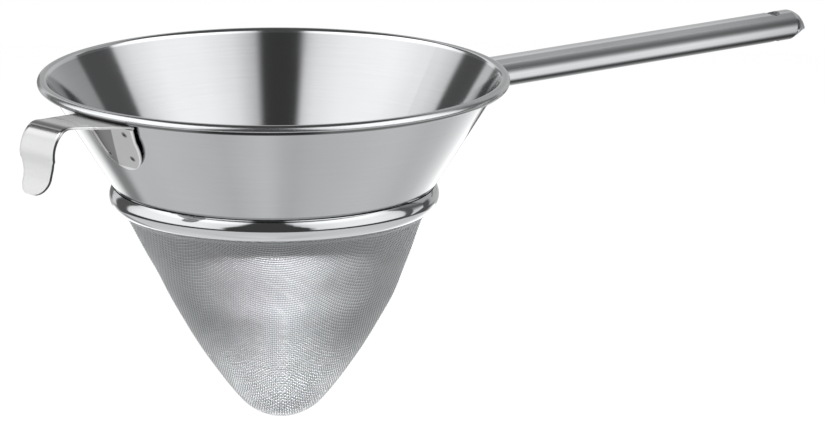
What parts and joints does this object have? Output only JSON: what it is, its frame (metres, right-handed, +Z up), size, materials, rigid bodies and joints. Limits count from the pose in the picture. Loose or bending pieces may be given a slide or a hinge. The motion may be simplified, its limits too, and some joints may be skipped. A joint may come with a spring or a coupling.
{
  "type": "chinois strainer",
  "caption": "Conical steel strainer with a rolled rim, a fine woven mesh bag clamped in a bead ring, a long tube handle and a pot hook opposite it.",
  "frame": {"origin": "on the collar's axis in the plane of the rim's top", "axes": "+Z up along the collar's axis, out of its mouth; +X along the handle; the hook is at -X"},
  "size_m": [0.4656, 0.2, 0.1493],
  "materials": {
    "polished_sheet": "spun and polished stainless steel sheet with fine level marks",
    "polished_ring": "bright polished stainless steel bead",
    "woven_mesh": "fine plain woven stainless steel wire cloth",
    "handle_steel": "polished stainless steel tube",
    "hook_steel": "polished stainless steel strip",
    "weld_bead": "dull, slightly discoloured weld",
    "wire": "plain drawn steel wire"
  },
  "bodies": {
    "root": {"collar": "polished_sheet", "rim_wire": "wire", "clamp_ring_outer": "polished_ring", "clamp_ring_inner": "polished_ring", "mesh_edge_wire": "wire", "mesh_bag": "woven_mesh", "handle_tube": "handle_steel", "handle_weld": "weld_bead", "pot_hook": "hook_steel", "hook_spot_welds": "weld_bead"}
  },
  "joints": []
}
